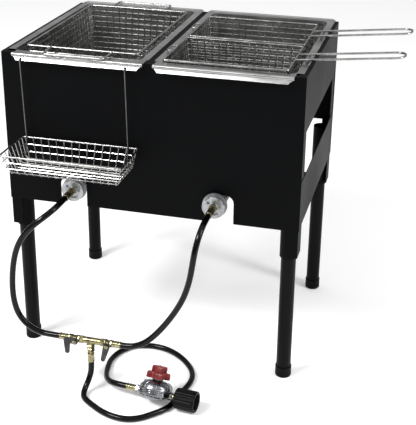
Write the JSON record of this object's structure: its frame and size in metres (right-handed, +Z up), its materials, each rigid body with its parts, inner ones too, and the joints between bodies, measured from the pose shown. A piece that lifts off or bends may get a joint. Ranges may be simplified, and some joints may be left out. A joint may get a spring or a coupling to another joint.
{
  "type": "outdoor gas fryer stand",
  "caption": "Outdoor gas fryer: black sheet-steel stand on tube legs, stainless pans, lift-out wire baskets, gas burners, hoses, valve manifold and regulator.",
  "frame": {"origin": "on the ground under the middle of the fryer's box, measured without the hoses and what hangs on them", "axes": "+X to the right along the basket handles, +Y to the back, +Z up; the front panel faces -Y"},
  "size_m": [0.87, 0.7482, 0.7716],
  "materials": {
    "black_powder_coat": "semi-gloss black powder coat",
    "leg_black": "satin black paint",
    "foot_rubber": "matte black rubber",
    "fastener": "blackened zinc",
    "cast_iron": "bare grey casting",
    "shutter_steel": "zinc-plated sheet",
    "brass": "machined brass",
    "valve_nickel": "dull nickel plate",
    "lever_grey": "dark grey paint",
    "ferrule_steel": "yellow-passivated zinc plate",
    "hose_rubber": "smooth black rubber hose",
    "diecast_zinc": "as-cast silver",
    "knob_red": "dark red moulded plastic",
    "nut_plastic": "matte black moulded plastic",
    "stainless_pan": "brushed stainless",
    "bright_wire": "bright nickel-plated wire",
    "dull_wire": "plain dull wire"
  },
  "bodies": {
    "stand": {"back_left_foot": "foot_rubber", "back_left_leg": "leg_black", "back_left_post": "black_powder_coat", "back_panel": "black_powder_coat", "back_right_foot": "foot_rubber", "back_right_leg": "leg_black", "back_right_post": "black_powder_coat", "centre_rail": "black_powder_coat", "front_burner_rail": "black_powder_coat", "front_left_foot": "foot_rubber", "front_left_leg": "leg_black", "front_left_post": "black_powder_coat", "front_panel": "black_powder_coat", "front_right_foot": "foot_rubber", "front_right_leg": "leg_black", "front_right_post": "black_powder_coat", "hose_ferrules": "ferrule_steel", "inlet_nipple": "brass", "left_brace": "black_powder_coat", "left_burner": "cast_iron", "left_burner_cap": "cast_iron", "left_burner_hose": "hose_rubber", "left_orifice_fitting": "brass", "left_side_panel": "black_powder_coat", "left_valve_body": "valve_nickel", "leg_bolts": "fastener", "manifold_tee": "brass", "rear_burner_rail": "black_powder_coat", "regulator_body": "diecast_zinc", "regulator_bonnet": "diecast_zinc", "right_brace": "black_powder_coat", "right_burner": "cast_iron", "right_burner_cap": "cast_iron", "right_burner_hose": "hose_rubber", "right_orifice_fitting": "brass", "right_side_panel": "black_powder_coat", "right_valve_body": "valve_nickel", "supply_hose": "hose_rubber"},
    "left_pan": {"left_pan": "stainless_pan"},
    "right_pan": {"right_pan": "stainless_pan"},
    "large_basket": {"large_basket": "bright_wire", "large_basket_rim": "bright_wire", "large_basket_front_handle": "bright_wire", "large_basket_back_handle": "bright_wire"},
    "front_basket": {"front_basket": "bright_wire", "front_basket_rim": "bright_wire", "front_basket_handle": "bright_wire"},
    "rear_basket": {"rear_basket": "bright_wire", "rear_basket_rim": "bright_wire", "rear_basket_handle": "bright_wire"},
    "utility_basket": {"utility_basket": "bright_wire", "utility_basket_rim": "bright_wire", "hanger_rods": "dull_wire"},
    "left_air_shutter": {"left_air_shutter": "shutter_steel"},
    "right_air_shutter": {"right_air_shutter": "shutter_steel"},
    "left_valve_lever": {"left_valve_lever": "lever_grey"},
    "right_valve_lever": {"right_valve_lever": "lever_grey"},
    "regulator_knob": {"regulator_knob": "knob_red"},
    "tank_nut": {"tank_nut": "nut_plastic"}
  },
  "joints": [
    {"name": "left_pan_lift", "type": "slide", "parent": "stand", "child": "left_pan", "axis": [0, 0, 1], "range_m": [0, 0.25]},
    {"name": "right_pan_lift", "type": "slide", "parent": "stand", "child": "right_pan", "axis": [0, 0, 1], "range_m": [0, 0.25]},
    {"name": "large_basket_lift", "type": "slide", "parent": "left_pan", "child": "large_basket", "axis": [0, 0, 1], "range_m": [0, 0.2]},
    {"name": "front_basket_lift", "type": "slide", "parent": "right_pan", "child": "front_basket", "axis": [0, 0, 1], "range_m": [0, 0.2]},
    {"name": "rear_basket_lift", "type": "slide", "parent": "right_pan", "child": "rear_basket", "axis": [0, 0, 1], "range_m": [0, 0.2]},
    {"name": "utility_basket_swing", "type": "hinge", "parent": "left_pan", "child": "utility_basket", "pos_m": [-0.261, -0.19855, 0.7296], "axis": [-1, 0, 0], "range_deg": [0, 35]},
    {"name": "left_shutter_turn", "type": "hinge", "parent": "stand", "child": "left_air_shutter", "pos_m": [-0.272, -0.20165, 0.431], "axis": [0, -1, 0], "range_deg": [-60, 60]},
    {"name": "right_shutter_turn", "type": "hinge", "parent": "stand", "child": "right_air_shutter", "pos_m": [0.057, -0.20165, 0.431], "axis": [0, -1, 0], "range_deg": [-60, 60]},
    {"name": "left_valve_turn", "type": "hinge", "parent": "stand", "child": "left_valve_lever", "pos_m": [-0.2235, -0.34405, 0.128], "axis": [0, 1, 0], "range_deg": [0, 90]},
    {"name": "right_valve_turn", "type": "hinge", "parent": "stand", "child": "right_valve_lever", "pos_m": [-0.1475, -0.34405, 0.128], "axis": [0, 1, 0], "range_deg": [-15, 75]},
    {"name": "regulator_knob_turn", "type": "hinge", "parent": "stand", "child": "regulator_knob", "pos_m": [-0.0326, -0.32048, 0.06584], "axis": [0.0523, 0.4973, 0.866], "continuous": true},
    {"name": "tank_nut_turn", "type": "hinge", "parent": "stand", "child": "tank_nut", "pos_m": [0.03462, -0.35067, 0.026], "axis": [0.9945, -0.1045, 0], "continuous": true}
  ]
}
